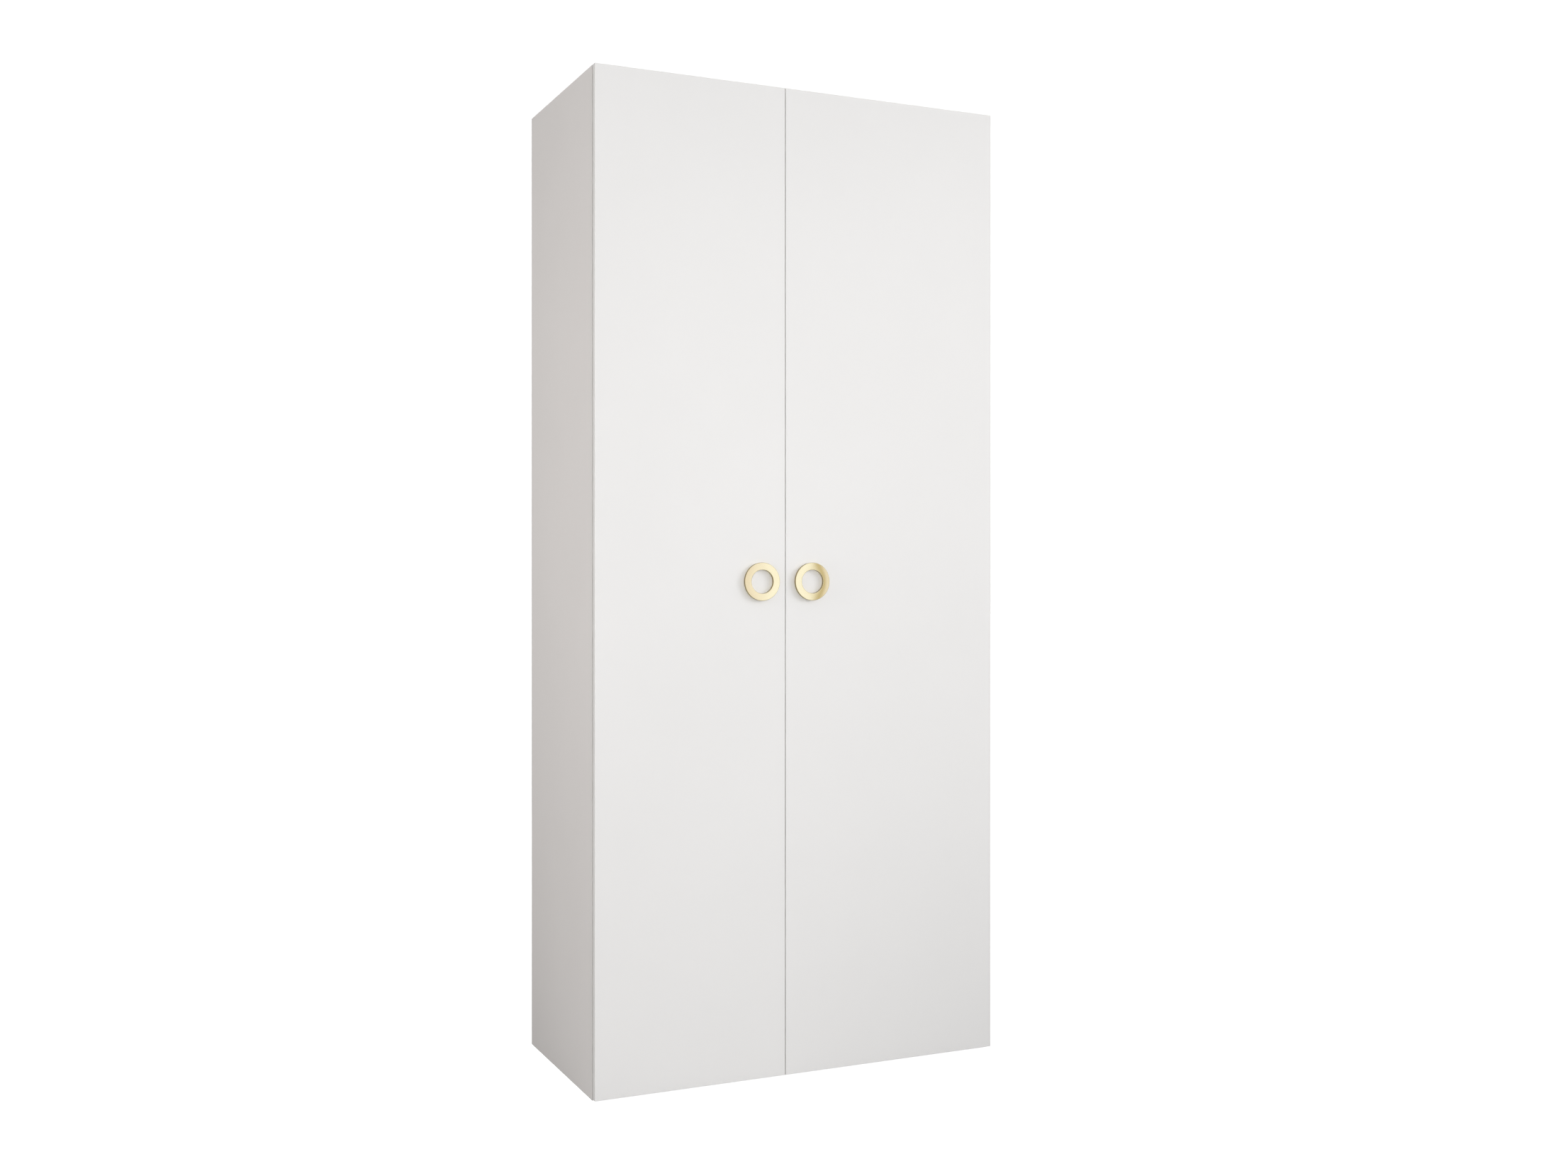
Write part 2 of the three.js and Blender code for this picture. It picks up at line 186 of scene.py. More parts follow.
def hardboard(name):
    """Bare rear of the back panels: pressed brown fibre with a canvas-like press mark."""
    material, nodes, shader, place = new_material(name)
    fibre = nodes.noise(nodes.stretched(place, (420.0, 420.0, 160.0)), 1.0, 5.0, 0.6)
    cloud = nodes.noise(place, 4.0, 3.0)
    share = nodes.spread(fibre, 0.0, 1.0)
    pressed = nodes.mix(share, colour(150, 112, 78), colour(182, 146, 108))
    tone = nodes.mix(nodes.spread(cloud, 0.0, 0.35), pressed, colour(168, 136, 104))
    weave = nodes.add("ShaderNodeTexVoronoi", {"Vector": place, "Scale": 700.0}).outputs["Distance"]
    grain = nodes.bump(fibre, 0.25, 0.0003)
    sheen = nodes.spread(fibre, 0.62, 0.8)
    wire(nodes, shader, Base_Color=tone, Roughness=sheen,
         Normal=nodes.bump(weave, 0.15, 0.0002, grain))
    return material


def chipboard(name):
    """Raw particle board, seen only inside the drillings."""
    material, nodes, shader, place = new_material(name)
    chips = nodes.add("ShaderNodeTexVoronoi", {"Vector": place, "Scale": 900.0}).outputs["Color"]
    shade = nodes.add("ShaderNodeSeparateXYZ", {"Vector": chips}).outputs["X"]
    tone = nodes.mix(shade, colour(196, 168, 128), colour(150, 118, 82))
    wire(nodes, shader, Base_Color=tone, Roughness=nodes.remap(shade, 0.0, 1.0, 0.75, 0.9),
         Normal=nodes.bump(shade, 0.3, 0.0002))
    return material


def polished(name, base, shade, gloss):
    """Mirror-polished plating: only the faintest cloudiness in its tone and gloss."""
    material, nodes, shader, place = new_material(name)
    cloud = nodes.noise(place, 35.0, 2.0)
    swirl = nodes.noise(place, 900.0, 2.0)
    tone = nodes.mix(nodes.spread(cloud, 0.0, 1.0), base, shade)
    sheen = nodes.spread(swirl, gloss * 0.9, gloss * 1.15)
    wire(nodes, shader, Base_Color=tone, Roughness=sheen, Normal=nodes.bump(swirl, 0.01, 0.00001))
    shader.inputs["Metallic"].default_value = 1.0
    return material


def metal(name, base, shade, gloss, fine=0.04):
    """Plated or polished metal: slight cloudiness in the gloss, and hair-fine handling marks."""
    material, nodes, shader, place = new_material(name)
    cloud = nodes.noise(place, 60.0, 3.0)
    hairs = nodes.noise(nodes.stretched(place, (2600.0, 2600.0, 240.0)), 1.0, 3.0)
    tone = nodes.mix(nodes.spread(cloud, 0.0, 1.0), base, shade)
    sheen = nodes.spread(cloud, gloss - 0.03, gloss + 0.04)
    wire(nodes, shader, Base_Color=tone, Roughness=sheen, Normal=nodes.bump(hairs, fine, 0.0001))
    shader.inputs["Metallic"].default_value = 1.0
    return material


def soft_clear(name):
    """Clear soft plastic of the door bumpers."""
    material, nodes, shader, place = new_material(name)
    cloud = nodes.noise(place, 300.0, 2.0)
    tone = nodes.mix(cloud, colour(222, 228, 228), colour(236, 240, 240))
    wire(nodes, shader, Base_Color=tone, Roughness=nodes.spread(cloud, 0.18, 0.28))
    shader.inputs["Transmission Weight"].default_value = 0.55
    shader.inputs["IOR"].default_value = 1.48
    return material


def cap_plastic(name):
    """Thin white cover caps."""
    material, nodes, shader, place = new_material(name)
    grain = nodes.noise(place, 900.0, 2.0)
    tone = nodes.mix(grain, colour(236, 235, 232), colour(242, 241, 239))
    sheen = nodes.spread(grain, 0.38, 0.48)
    wire(nodes, shader, Base_Color=tone, Roughness=sheen, Normal=nodes.bump(grain, 0.08, 0.0001))
    return material


DOOR_FOIL = melamine("door_foil", colour(239, 238, 237), 0.50)
DOOR_EDGE = edge_band("door_edge_band", colour(238, 237, 235))
BOARD_FOIL = melamine("board_foil", colour(238, 235, 233), 0.54)
BOARD_EDGE = edge_band("board_edge_band", colour(236, 234, 231))
BACK_WHITE = melamine("back_white", colour(235, 233, 229), 0.6)
BACK_BROWN = hardboard("back_brown")
CHIPBOARD = chipboard("chipboard")
PALE_GOLD = polished("pale_gold", (0.89, 0.79, 0.56, 1.0), (0.88, 0.778, 0.545, 1.0), 0.045)
# The ring's sides: the same gold plating, painted darker as a painted dark reflection.
GOLD_WALL_PAINTED_DARK = polished("gold_wall_painted_dark", (0.36, 0.29, 0.13, 1.0), (0.34, 0.27, 0.12, 1.0), 0.3)
NICKEL = metal("nickel", colour(205, 205, 203), colour(194, 194, 193), 0.26)
CHROME = metal("chrome", colour(222, 223, 225), colour(214, 215, 218), 0.12, 0.02)
ZINC = metal("zinc", colour(178, 182, 186), colour(160, 165, 172), 0.36, 0.08)
BUMPER_CLEAR = soft_clear("bumper_clear")
CAP_WHITE = cap_plastic("cap_white")


# ---------------------------------------------------------------- mesh helpers
SMOOTH_ANGLE = math.radians(35.0)
MERGE_DISTANCE = 1e-7
SECOND = 1  # place of a piece's second material


def in_order(items):
    """Each item once, in the order met, so that every run makes the same mesh."""
    return list(dict.fromkeys(items))


def round_edges(bm, edges, bevel, segments):
    bmesh.ops.bevel(bm, geom=edges, offset=bevel, segments=segments,
                    affect="EDGES", profile=0.5, clamp_overlap=True)


def add_box(bm, lo, hi, bevel, segments=2):
    """A closed box with all its edges rounded."""
    lo, hi = Vector(lo), Vector(hi)
    made = bmesh.ops.create_cube(bm, size=1.0)["verts"]
    size = hi - lo
    for vert in made:
        vert.co = (lo + hi) / 2 + Vector(a * b for a, b in zip(vert.co, size))
    edges = in_order(edge for vert in made for edge in vert.link_edges)
    round_edges(bm, edges, bevel, segments)


def in_mm(profile):
    """A (radius, height) profile given in millimetres."""
    return [(radius * MM, height * MM) for radius, height in profile]


def middle_of(low, high):
    """The middle of a box across and up: (x, z)."""
    return (low.x + high.x) / 2, (low.z + high.z) / 2


def axis_frame(axis):
    """Turns local +Z to the given axis."""
    return Vector((0, 0, 1)).rotation_difference(Vector(axis)).to_matrix().to_4x4()


def add_turned(bm, profile, centre, axis, segments, material=0):
    """A solid of revolution of (radius, height) points along the axis; radius 0 closes an end."""
    turn = Matrix.Translation(Vector(centre)) @ axis_frame(axis)
    rings = []
    for radius, height in profile:
        if radius == 0:
            rings.append([bm.verts.new(turn @ Vector((0, 0, height)))])
            continue
        angles = [2 * math.pi * i / segments for i in range(segments)]
        circle = [Vector((radius * math.cos(a), radius * math.sin(a), height)) for a in angles]
        rings.append([bm.verts.new(turn @ point) for point in circle])
    made = []
    for lower, upper in zip(rings, rings[1:]):
        for i in range(segments):
            j = (i + 1) % segments
            corners = [lower[i % len(lower)], lower[j % len(lower)],
                       upper[j % len(upper)], upper[i % len(upper)]]
            corners = list(dict.fromkeys(corners))
            if len(corners) > 2:
                made.append(bm.faces.new(corners))
    for face in made:
        face.material_index = material
    return made


def add_turned_ring(bm, profile, centre, axis, segments):
    """As add_turned, for a profile that closes on itself and never meets the axis."""
    made = add_turned(bm, list(profile) + [profile[0]], centre, axis, segments)
    bmesh.ops.remove_doubles(bm, verts=in_order(v for f in made for v in f.verts),
                             dist=MERGE_DISTANCE)


def add_prism(bm, outline, z_low, z_high, bevel, segments=2):
    """An outline in XY, extruded up, with its edges rounded."""
    lower = [bm.verts.new((x, y, z_low)) for x, y in outline]
    face = bm.faces.new(lower)
    raised = bmesh.ops.extrude_face_region(bm, geom=[face])["geom"]
    upper = [item for item in raised if isinstance(item, bmesh.types.BMVert)]
    bmesh.ops.translate(bm, verts=upper, vec=(0, 0, z_high - z_low))
    faces = in_order(f for vert in lower + upper for f in vert.link_faces)
    round_edges(bm, in_order(edge for f in faces for edge in f.edges), bevel, segments)


def smooth_but_for_corners(mesh):
    """Smooth shading that stops at sharp edges."""
    mesh.polygons.foreach_set("use_smooth", [True] * len(mesh.polygons))
    mesh.set_sharp_from_angle(angle=SMOOTH_ANGLE)


def add_slab(bm, near, far):
    """A closed plate between two matching outlines of 3-D points."""
    near = [bm.verts.new(point) for point in near]
    far = [bm.verts.new(point) for point in far]
    bm.faces.new(near)
    bm.faces.new(far)
    count = len(near)
    for i in range(count):
        j = (i + 1) % count
        bm.faces.new((near[i], near[j], far[j], far[i]))


def piece_from(bm, name, materials):
    """Turns the bmesh into an object with clean normals."""
    bmesh.ops.recalc_face_normals(bm, faces=bm.faces)
    mesh = bpy.data.meshes.new(name)
    bm.to_mesh(mesh)
    bm.free()
    for material in materials:
        mesh.materials.append(material)
    smooth_but_for_corners(mesh)
    piece = bpy.data.objects.new(name, mesh)
    bpy.context.scene.collection.objects.link(piece)
    return piece


def flat_shaded(piece):
    """Keeps broad flat faces flat beside rounded edges."""
    weighted = piece.modifiers.new("weighted_normal", "WEIGHTED_NORMAL")
    weighted.weight = 100
    weighted.keep_sharp = True
    return piece


def settle(piece, body, slot, *nodes):
    """Gives the piece its body and hides the CAD nodes that it replaces; the slot is not used."""
    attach(piece, body)
    if nodes:
        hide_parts(*nodes)


def carve(piece, cutter_bm):
    """Cuts the closed shapes of cutter_bm out of the piece."""
    bmesh.ops.recalc_face_normals(cutter_bm, faces=cutter_bm.faces)
    cutter_mesh = bpy.data.meshes.new("cutter")
    cutter_bm.to_mesh(cutter_mesh)
    cutter_bm.free()
    for material in piece.data.materials:
        cutter_mesh.materials.append(material)
    cutter = bpy.data.objects.new("cutter", cutter_mesh)
    bpy.context.scene.collection.objects.link(cutter)
    cut = piece.modifiers.new("cut", "BOOLEAN")
    cut.operation = "DIFFERENCE"
    cut.solver = "EXACT"
    cut.object = cutter
    bpy.context.view_layer.update()
    evaluated = piece.evaluated_get(bpy.context.evaluated_depsgraph_get())
    shaped = bpy.data.meshes.new_from_object(evaluated)
    piece.modifiers.clear()
    piece.data = shaped
    bpy.data.objects.remove(cutter)
    smooth_but_for_corners(shaped)


# ---------------------------------------------------------------- boards
BAND = 1.0 * MM
EDGE_ROUND = 0.45 * MM
DOOR_ROUND = 0.7 * MM
DOOR_CHAMFER = 1.2 * MM  # inner hinge-side edge, so that it clears the side as it swings
ENDS = {"-x": (0, 0), "+x": (0, 1), "-y": (1, 0), "+y": (1, 1), "-z": (2, 0), "+z": (2, 1)}
BOARD_MATERIALS = [BOARD_FOIL, BOARD_EDGE, CHIPBOARD]
DOOR_MATERIALS = [DOOR_FOIL, DOOR_EDGE, CHIPBOARD]
CUT_MATERIAL = 2
CUTTER_LEAD = 1.0 * MM  # how far a cutter starts outside the face


def band_edges(bm, lo, hi, banded):
    """Gives the outermost strip at each named end of a board to the plastic edging."""
    for name in banded:
        axis, end = ENDS[name]
        outward = Vector((0, 0, 0))
        outward[axis] = 1 if end else -1
        seam = Vector(hi if end else lo) - outward * BAND
        geometry = list(bm.verts) + list(bm.edges) + list(bm.faces)
        bmesh.ops.bisect_plane(bm, geom=geometry, dist=MERGE_DISTANCE, plane_co=seam,
                               plane_no=outward)
        for face in bm.faces:
            if (face.calc_center_median() - seam).dot(outward) > 0:
                face.material_index = SECOND


def rod_cutters(places, axis, radius, depth, segments=20):
    """Closed rods that start just outside a face at each place and run inwards along axis."""
    bm = bmesh.new()
    length = depth + CUTTER_LEAD
    for place in places:
        start = Vector(place) - Vector(axis) * CUTTER_LEAD
        add_turned(bm, [(0, 0), (radius, 0), (radius, length), (0, length)],
                   start, axis, segments, CUT_MATERIAL)
    return bm


def board(node, banded, outline=None, cuts=(), materials=BOARD_MATERIALS,
          body="carcass", slot="carcass_board", rounding=EDGE_ROUND):
    """A board of the CAD box's size, or an upright one with the given outline from above."""
    lo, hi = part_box(node)
    bm = bmesh.new()
    if outline:
        add_prism(bm, outline, lo.z, hi.z, rounding, 3)
    else:
        add_box(bm, lo, hi, rounding, 3)
    band_edges(bm, lo, hi, banded)
    piece = piece_from(bm, f"{node}_board", materials)
    for cutter in cuts:
        carve(piece, cutter)
    settle(flat_shaded(piece), body, slot, node)


# ---------------------------------------------------------------- carcass
PIN_ROWS = (FRONT_Y + 37 * MM, FRONT_Y + 420 * MM)  # drilled rows, front and rear
PIN_PITCH = 32 * MM
PIN_RADIUS = 2.5 * MM
PIN_HOLE_RADIUS = PIN_RADIUS + 0.05 * MM
PIN_HOLE_DEPTH = 10 * MM
HOLES_PER_SHELF = 5
REBATE_AIR = 0.3 * MM  # round the back panel in its rebate


def shelf_pin_z(shelf):
    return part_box(shelf)[0].z - PIN_RADIUS


def drilled_rows(face_x, inward, shelves):
    """Drillings for the shelf pins: a short row of holes at each shelf, front and rear."""
    middle = HOLES_PER_SHELF // 2
    places = [(face_x, y, shelf_pin_z(shelf) + (i - middle) * PIN_PITCH)
              for shelf in shelves for y in PIN_ROWS for i in range(HOLES_PER_SHELF)]
    return rod_cutters(places, (inward, 0, 0), PIN_HOLE_RADIUS, PIN_HOLE_DEPTH)


def side_outline(side):
    """A side panel from above: the back panel lies in a rebate along its inner rear edge."""
    lo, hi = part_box(f"{side}_side_panel")
    back_lo, back_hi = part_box(f"back_panel_{side}")
    rebate_y = back_lo.y - REBATE_AIR
    sign = SIDES[side]
    outer, inner = (lo.x, hi.x) if sign < 0 else (hi.x, lo.x)
    lip = (back_lo.x if sign < 0 else back_hi.x) + sign * REBATE_AIR
    return [(outer, lo.y), (inner, lo.y), (inner, rebate_y),
            (lip, rebate_y), (lip, hi.y), (outer, hi.y)]


def build_carcass():
    """Every fixed board but the back panels; the edges that show have plastic edging."""
    board("left_side_panel", ("-y", "-z", "+z"), side_outline("left"),
          [drilled_rows(-INNER_X, -1, LEFT_SHELVES)])
    board("right_side_panel", ("-y", "-z", "+z"), side_outline("right"),
          [drilled_rows(INNER_X, 1, RIGHT_SHELVES)])
    part_lo, part_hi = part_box("partition")
    board("partition", ("-y",), cuts=[drilled_rows(part_lo.x, 1, LEFT_SHELVES),
                                      drilled_rows(part_hi.x, -1, RIGHT_SHELVES)])
    for node in ("plinth_front", "plinth_rear"):
        board(node, ("-z",))
    for node in ("top_panel", "bottom_panel") + LEFT_SHELVES + RIGHT_SHELVES:
        board(node, ("-y",))


# ---------------------------------------------------------------- back panels and their nails
BACK_ROUND = 0.3 * MM
LOOKS_INWARD = -0.5  # normals below this in Y look into the wardrobe
NAIL_PITCH = 125 * MM
NAIL_FROM_EDGE = 6 * MM
NAIL_HEAD = ((0, -2.0), (0.9, -2.0), (0.9, 0.0), (3.0, 0.1), (3.1, 0.35), (2.2, 0.6), (0, 0.7))


def build_backs():
    """Hardboard, white inside and brown behind."""
    for side in SIDES:
        node = f"back_panel_{side}"
        lo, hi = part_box(node)
        bm = bmesh.new()
        add_box(bm, lo, hi, BACK_ROUND)
        for face in bm.faces:
            face.material_index = 0 if face.normal.y < LOOKS_INWARD else SECOND
        settle(flat_shaded(piece_from(bm, f"{node}_sheet", [BACK_WHITE, BACK_BROWN])),
               "carcass", "back_hardboard", node)
        build_nails(side, lo, hi)


def evenly(low, high, pitch):
    """Equal steps from low to high, as near to the pitch as they come."""
    count = max(1, round((high - low) / pitch))
    return [low + (high - low) * i / count for i in range(count + 1)]


def build_nails(side, lo, hi):
    """Nail heads up both edges of a back panel, and into the top and bottom panels."""
    rows = []
    for node in ("top_panel", "bottom_panel"):
        row_lo, row_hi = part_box(node)
        rows.append((row_lo.z + row_hi.z) / 2)
    columns = (lo.x + NAIL_FROM_EDGE, hi.x - NAIL_FROM_EDGE)
    spots = [(x, z) for x in columns for z in evenly(rows[1], rows[0], NAIL_PITCH)]
    spots += [(x, z) for x in evenly(*columns, NAIL_PITCH)[1:-1] for z in rows]
    bm = bmesh.new()
    for x, z in spots:
        add_turned(bm, in_mm(NAIL_HEAD), (x, hi.y, z), (0, 1, 0), segments=14)
    settle(piece_from(bm, f"{side}_back_nails", [ZINC]), "carcass", "zinc_steel")


# ---------------------------------------------------------------- screws
CROSS_WIDTH = 0.9 * MM
# Shares of the head's radius and height:
HEAD_NECK, HEAD_RIM = 0.5, 0.35
QUARTER_REACH, QUARTER_TAPER = 0.96, 0.86
QUARTER_FOOT, QUARTER_EDGE = 0.3, 0.8
QUARTER_STEPS = 6


def add_screw_head(bm, centre, axis, radius, height, material=0):
    """A domed head with a cross recess, made as four raised quarters on a low disc."""
    rim_height = height * HEAD_RIM
    disc = [(0, -height), (radius * HEAD_NECK, -height), (radius, 0), (radius, rim_height),
            (0, rim_height)]
    add_turned(bm, disc, centre, axis, 24, material)
    turn = Matrix.Translation(Vector(centre)) @ axis_frame(axis)
    half = CROSS_WIDTH / 2
    reach = radius * QUARTER_REACH
    for quarter in range(4):
        spin = turn @ Matrix.Rotation(quarter * math.pi / 2, 4, "Z")
        start = math.asin(half / reach)
        angles = [start + (math.pi / 2 - 2 * start) * i / QUARTER_STEPS
                  for i in range(QUARTER_STEPS + 1)]
        rim = [(reach * math.cos(a), reach * math.sin(a)) for a in angles]
        outline = [(half, half)] + rim
        low = [bm.verts.new(spin @ Vector((x, y, height * QUARTER_FOOT))) for x, y in outline]
        top = [bm.verts.new(spin @ Vector((x * QUARTER_TAPER, y * QUARTER_TAPER,
                                           height * QUARTER_EDGE))) for x, y in outline]
        top[0].co = spin @ Vector((half, half, height))
        count = len(outline)
        made = [bm.faces.new(top), bm.faces.new(list(reversed(low)))]
        made += [bm.faces.new((low[i], low[(i + 1) % count], top[(i + 1) % count], top[i]))
                 for i in range(count)]
        for face in made:
            face.material_index = material


# ---------------------------------------------------------------- shelf pins
PIN_PROFILE = ((0, -9.5), (2.2, -9.5), (2.5, -9.0), (2.5, 0.05), (4.0, 0.05), (4.2, 0.3),
               (4.2, 0.8), (2.6, 1.0), (2.5, 7.6), (2.1, 8.0), (0, 8.0))


def build_shelf_pins():
    """Four pins under each shelf, pushed into the drillings at its ends."""
    part_lo, part_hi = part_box("partition")
    groups = ((LEFT_SHELVES, CARCASS_HI.x, part_lo.x), (RIGHT_SHELVES, part_hi.x, RIGHT_LO.x))
    profile = in_mm(PIN_PROFILE)
    for shelves, low_x, high_x in groups:
        for shelf in shelves:
            bm = bmesh.new()
            for y in PIN_ROWS:
                for x, inward in ((low_x, 1), (high_x, -1)):
                    place = (x, y, shelf_pin_z(shelf))
                    add_turned(bm, profile, place, (inward, 0, 0), segments=24)
            settle(piece_from(bm, f"{shelf}_pins", [NICKEL]), "carcass", "hinge_nickel")


# ---------------------------------------------------------------- hanging rail
RAIL_WALL = 1.2 * MM
SOCKET_BASE = 3 * MM  # thickness of the plate against the board
SOCKET_BASE_CHAMFER = 1.2 * MM
SOCKET_LAP = 0.5 * MM  # the collar starts this far inside the plate
SOCKET_COLLAR = 4.6 * MM  # added to the rail's height and width
SOCKET_BORE = 0.6 * MM  # likewise
SOCKET_SCREW_FROM_END = 4.6 * MM
SOCKET_SCREW = (3.0 * MM, 0.9 * MM)  # head radius and height
SOCKET_RIM_FROM = 0.75  # share of the plate's thickness where its chamfer starts


def oval_outline(height, width, steps=16):
    """Points round an upright oval: (across, up)."""
    radius = width / 2
    straight = height / 2 - radius
    points = []
    for start, centre in ((0, straight), (math.pi, -straight)):
        for i in range(steps + 1):
            a = start + math.pi * i / steps
            points.append((radius * math.cos(a), centre + radius * math.sin(a)))
    return points


def add_oval_tube(bm, outer, inner, x_low, x_high, centre_y, centre_z):
    """A tube along X between two ovals, closed at its ends."""
    loops = []
    for outline, x in ((outer, x_low), (outer, x_high), (inner, x_high), (inner, x_low)):
        loops.append([bm.verts.new((x, centre_y + y, centre_z + z)) for y, z in outline])
    loops.append(loops[0])
    count = len(outer)
    for near, far in zip(loops, loops[1:]):
        for i in range(count):
            j = (i + 1) % count
            bm.faces.new((near[i], near[j], far[j], far[i]))


def add_oval_disc(bm, outline, x_low, x_high, centre_y, centre_z, bevel):
    """A solid oval plate across X with a chamfered rim."""
    rows = []
    chamfer_x = x_low + SOCKET_RIM_FROM * (x_high - x_low)
    for x, inset in ((x_low, 0.0), (chamfer_x, 0.0), (x_high, bevel)):
        row = []
        for y, z in outline:
            reach = math.hypot(y, z)
            shrink = (reach - inset) / reach
            row.append(bm.verts.new((x, centre_y + y * shrink, centre_z + z * shrink)))
        rows.append(row)
    bm.faces.new(rows[0])
    bm.faces.new(rows[-1])
    count = len(outline)
    for near, far in zip(rows, rows[1:]):
        for i in range(count):
            j = (i + 1) % count
            bm.faces.new((near[i], near[j], far[j], far[i]))


def build_rail():
    """The oval tube, and a collar on a screwed plate at each of its ends."""
    lo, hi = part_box("hanging_rail")
    height, width = hi.z - lo.z, hi.y - lo.y
    middle_y, middle_z = (lo.y + hi.y) / 2, (lo.z + hi.z) / 2
    inside = oval_outline(height - 2 * RAIL_WALL, width - 2 * RAIL_WALL)
    bm = bmesh.new()
    add_oval_tube(bm, oval_outline(height, width), inside, lo.x, hi.x, middle_y, middle_z)
    settle(piece_from(bm, "hanging_rail_tube", [CHROME]), "carcass", "rail_metal", "hanging_rail")

    for side, inward in (("left", 1), ("right", -1)):
        node = f"rail_socket_{side}"
        lo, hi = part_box(node)
        wall_x = lo.x if inward > 0 else hi.x
        mouth_x = hi.x if inward > 0 else lo.x
        base_x = wall_x + inward * SOCKET_BASE
        bm = bmesh.new()
        flange = oval_outline(hi.z - lo.z, hi.y - lo.y)
        add_oval_disc(bm, flange, wall_x, base_x, middle_y, middle_z, SOCKET_BASE_CHAMFER)
        collar = oval_outline(height + SOCKET_COLLAR, width + SOCKET_COLLAR)
        bore = oval_outline(height + SOCKET_BORE, width + SOCKET_BORE)
        add_oval_tube(bm, collar, bore, base_x - inward * SOCKET_LAP, mouth_x, middle_y, middle_z)
        for z in (lo.z + SOCKET_SCREW_FROM_END, hi.z - SOCKET_SCREW_FROM_END):
            add_screw_head(bm, (base_x, middle_y, z), (inward, 0, 0), *SOCKET_SCREW, SECOND)
        settle(piece_from(bm, f"{node}_shell", [NICKEL, ZINC]), "carcass", "rail_metal", node)


# ---------------------------------------------------------------- doors and ring handles
RING_FILLET = 0.9 * MM
RING_OUTER = 43.2 * MM
RING_INNER = 26.7 * MM
RING_DEPTH = 6.5 * MM
RING_FACE_LIMIT = 0.8  # faces that look more sideways than this belong to the ring's wall and take its painted dark reflection
POST_PROFILE = ((0, -1.0), (4.5, -1.0), (4.5, 5.9), (4.3, 6.2), (2.4, 6.2), (2.4, 2.4), (0, 2.4))
HANDLE_SCREWS = (1, 2)
SHANK_RADIUS = 2.0 * MM
SHANK_TIP = 1.7 * MM
SHANK_CHAMFER = 0.4 * MM
SHANK_LAP = 0.3 * MM  # the shank runs this far into the head
HANDLE_HEAD_HEIGHT = 2.2 * MM
HANDLE_HEAD_PROFILE = ((0, 0), (4.5, 0), (4.5, 0.9), (3.9, 1.3), (0, 1.3))
HANDLE_HEAD_DOME = (3.6 * MM, 1.1 * MM)  # radius and height of the crossed dome on the head
SCREW_BORE = (2.3 * MM, 17 * MM)  # radius and depth of the handle screws' holes
CUP_BORE = (17.8 * MM, 12.6 * MM)  # likewise for the hinge cups
BUMPER_PROFILE = ((0, 0), (4.6, 0), (5.0, 0.25), (4.6, 0.8), (3.4, 1.2), (1.8, 1.38), (0, 1.4))


def fillet_profile(r_low, r_high, h_low, h_high, fillet, steps=5):
    """A rounded rectangle as a (radius, height) loop."""
    corners = ((r_high - fillet, h_low + fillet, -90), (r_high - fillet, h_high - fillet, 0),
               (r_low + fillet, h_high - fillet, 90), (r_low + fillet, h_low + fillet, 180))
    points = []
    for r, h, start in corners:
        for i in range(steps + 1):
            a = math.radians(start + 90 * i / steps)
            points.append((r + fillet * math.cos(a), h + fillet * math.sin(a)))
    return points


def build_handle(side):
    """A flat ring with rounded rims, on a post at its top and one at its bottom; its sideways faces
    carry a painted dark reflection.
    """
    node = f"{side}_ring_handle"
    lo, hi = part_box(node)
    x, z = middle_of(lo, hi)
    bm = bmesh.new()
    profile = fillet_profile(RING_INNER, RING_OUTER, 0.0, RING_DEPTH, RING_FILLET)
    add_turned_ring(bm, profile, (x, lo.y, z), (0, 1, 0), segments=192)
    for end in (-1, 1):
        place = (x, lo.y + RING_DEPTH, z + end * (RING_INNER + RING_OUTER) / 2)
        add_turned(bm, in_mm(POST_PROFILE), place, (0, 1, 0), segments=40)
    # Sideways faces get the darker gold: a painted dark reflection.
    for face in bm.faces:
        face.normal_update()
        if abs(face.normal.y) < RING_FACE_LIMIT:
            face.material_index = SECOND
    ring = flat_shaded(piece_from(bm, f"{side}_ring", [PALE_GOLD, GOLD_WALL_PAINTED_DARK]))
    settle(ring, f"{side}_door", "handle_metal", node)
    return ring


def build_handle_screws(side):
    """Machine screws that run through the door from inside into the ring's posts."""
    for i in HANDLE_SCREWS:
        node = f"{side}_handle_screw_{i}"
        lo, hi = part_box(node)
        x, z = middle_of(lo, hi)
        head_y = hi.y - HANDLE_HEAD_HEIGHT
        length = head_y - lo.y + SHANK_LAP
        shank = [(0, 0), (SHANK_TIP, 0), (SHANK_RADIUS, SHANK_CHAMFER), (SHANK_RADIUS, length),
                 (0, length)]
        bm = bmesh.new()
        add_turned(bm, shank, (x, lo.y, z), (0, 1, 0), segments=24)
        add_turned(bm, in_mm(HANDLE_HEAD_PROFILE), (x, head_y, z), (0, 1, 0), segments=32)
        add_screw_head(bm, (x, head_y + HANDLE_HEAD_HEIGHT / 2, z), (0, 1, 0), *HANDLE_HEAD_DOME)
        settle(piece_from(bm, f"{node}_shape", [ZINC]), f"{side}_door", "zinc_steel", node)


def door_outline(side):
    """A door from above: its inner hinge-side edge is taken off."""
    lo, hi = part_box(f"{side}_door")
    sign = SIDES[side]
    meeting, outer = (hi.x, lo.x) if sign < 0 else (lo.x, hi.x)
    return [(meeting, lo.y), (outer, lo.y), (outer, hi.y - DOOR_CHAMFER),
            (outer - sign * DOOR_CHAMFER, hi.y), (meeting, hi.y)]


